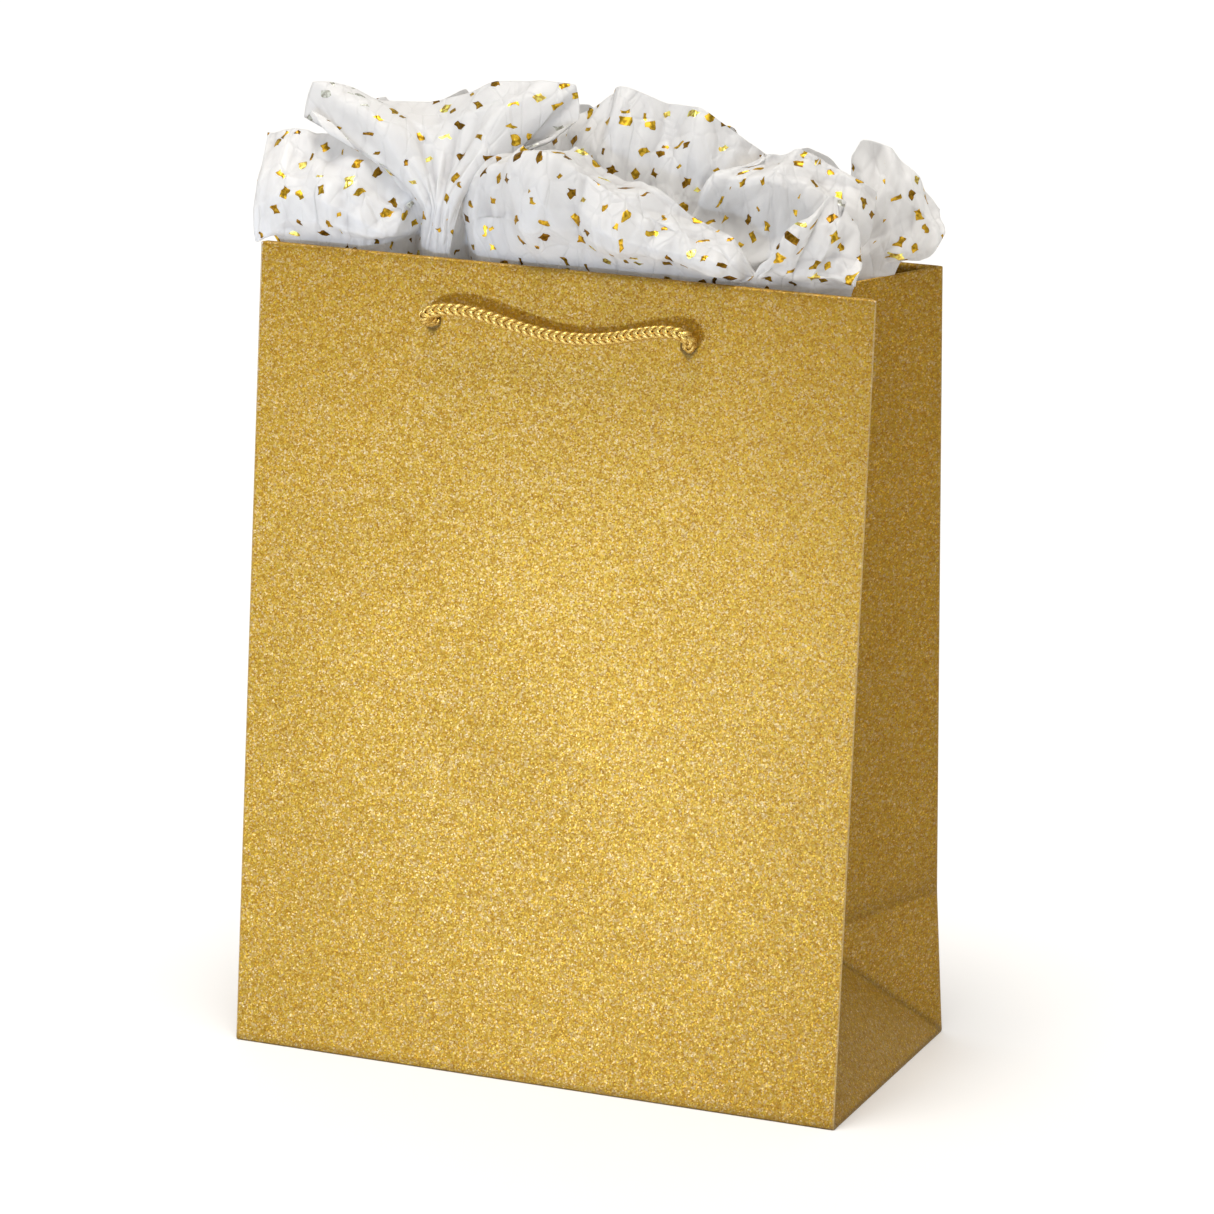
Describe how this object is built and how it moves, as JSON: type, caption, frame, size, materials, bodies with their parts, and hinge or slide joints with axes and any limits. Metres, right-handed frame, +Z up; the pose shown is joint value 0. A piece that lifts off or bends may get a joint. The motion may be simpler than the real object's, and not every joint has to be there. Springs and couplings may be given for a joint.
{
  "type": "gift bag",
  "caption": "Gusseted gold glitter paper gift bag with braided cord handles and gathered tissue standing in its open mouth.",
  "frame": {"origin": "centre of the base, on the surface the bag stands on", "axes": "+Z up, +X across the front from the left gusset to the right one, +Y from the front panel to the back one"},
  "size_m": [0.203, 0.102, 0.306],
  "materials": {
    "glitter_paper": "satin",
    "card": "matte",
    "cord": "satin",
    "tissue_paper": "matte"
  },
  "bodies": {
    "bag": {"back_panel": "glitter_paper", "back_hem": "glitter_paper", "side_seam_flap": "glitter_paper", "base_front_flap": "glitter_paper", "base_rear_flap": "glitter_paper", "base_left_flap": "glitter_paper", "base_right_flap": "glitter_paper", "right_gusset_front": "glitter_paper", "right_gusset_back": "glitter_paper", "right_gusset_foot": "glitter_paper", "right_gusset_hem": "glitter_paper", "left_gusset_front": "glitter_paper", "left_gusset_back": "glitter_paper", "left_gusset_foot": "glitter_paper", "left_gusset_hem": "glitter_paper", "back_stiffener": "card", "base_board": "card", "back_handle_left_tail": "cord", "back_handle_right_tail": "cord", "back_handle_left_knot": "cord", "back_handle_right_knot": "cord"},
    "front": {"front_panel": "glitter_paper", "front_hem": "glitter_paper", "front_stiffener": "card", "front_handle_left_tail": "cord", "front_handle_right_tail": "cord", "front_handle_left_knot": "cord", "front_handle_right_knot": "cord"},
    "front_handle": {"front_handle_loop": "cord"},
    "back_handle": {"back_handle_loop": "cord"},
    "front_sheet": {"front_tissue": "tissue_paper"},
    "middle_sheet": {"middle_tissue": "tissue_paper"},
    "back_sheet": {"back_tissue": "tissue_paper"}
  },
  "joints": [
    {"name": "mouth_open", "type": "hinge", "parent": "bag", "child": "front", "pos_m": [0, -0.051, 0], "axis": [1, 0, 0], "range_deg": [0, 4.3], "deforming": ["right_gusset_front", "right_gusset_back", "right_gusset_hem", "left_gusset_front", "left_gusset_back", "left_gusset_hem"]},
    {"name": "front_handle_swing", "type": "hinge", "parent": "front", "child": "front_handle", "pos_m": [0, -0.03572, 0.23642], "axis": [-1, 0, 0], "range_deg": [-68, 45]},
    {"name": "back_handle_swing", "type": "hinge", "parent": "bag", "child": "back_handle", "pos_m": [0, 0.03222, 0.23583], "axis": [1, 0, 0], "range_deg": [-68, 45]},
    {"name": "front_tissue_lift", "type": "slide", "parent": "front", "child": "front_sheet", "axis": [0, 0, 1], "range_m": [0, 0.11]},
    {"name": "middle_tissue_lift", "type": "slide", "parent": "bag", "child": "middle_sheet", "axis": [0, 0, 1], "range_m": [0, 0.11]},
    {"name": "back_tissue_lift", "type": "slide", "parent": "bag", "child": "back_sheet", "axis": [0, 0, 1], "range_m": [0, 0.11]}
  ]
}
